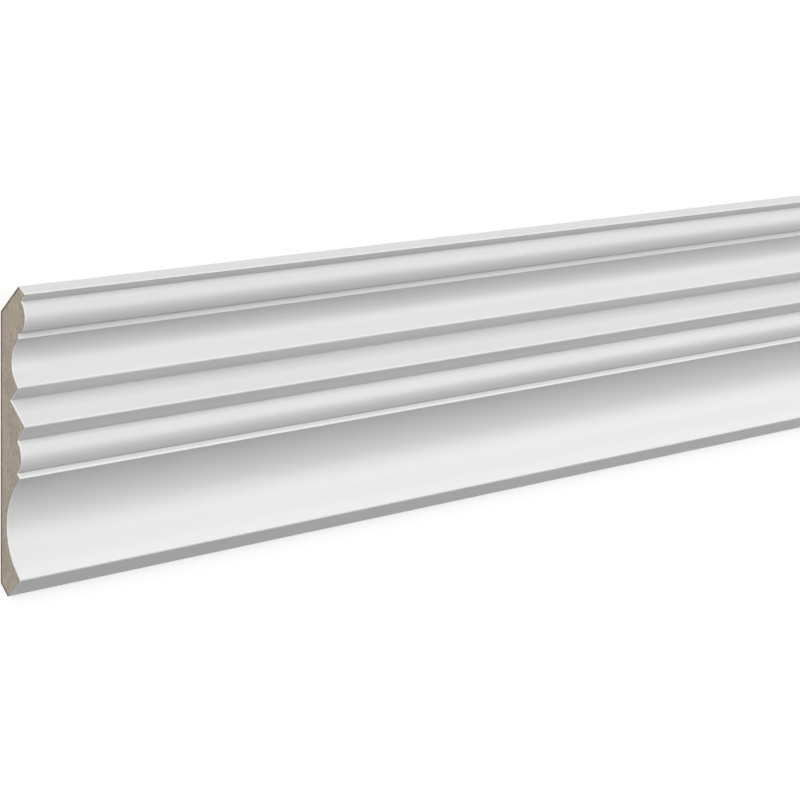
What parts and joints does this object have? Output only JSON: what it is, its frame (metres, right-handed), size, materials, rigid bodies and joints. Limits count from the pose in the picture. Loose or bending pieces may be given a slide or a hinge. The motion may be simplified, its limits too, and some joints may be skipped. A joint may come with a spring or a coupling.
{
  "type": "cornice moulding",
  "caption": "Straight length of primed fibreboard cornice moulding, with rounds, fillets, a fascia and coves along its front, and edges bevelled to sit on a wall and a ceiling.",
  "frame": {"origin": "middle of the piece's length and width, on the plane of its flat back", "axes": "+X along the length, +Y across the face from the wall edge to the ceiling edge, +Z out of the flat back, through the milled front"},
  "size_m": [2.44, 0.13, 0.016],
  "materials": {
    "primed_fibreboard": "smooth white primer on the milled front and the lower edge, bare fibreboard on the sawn ends and the back"
  },
  "bodies": {
    "root": {"cornice_moulding": "primed_fibreboard"}
  },
  "joints": []
}
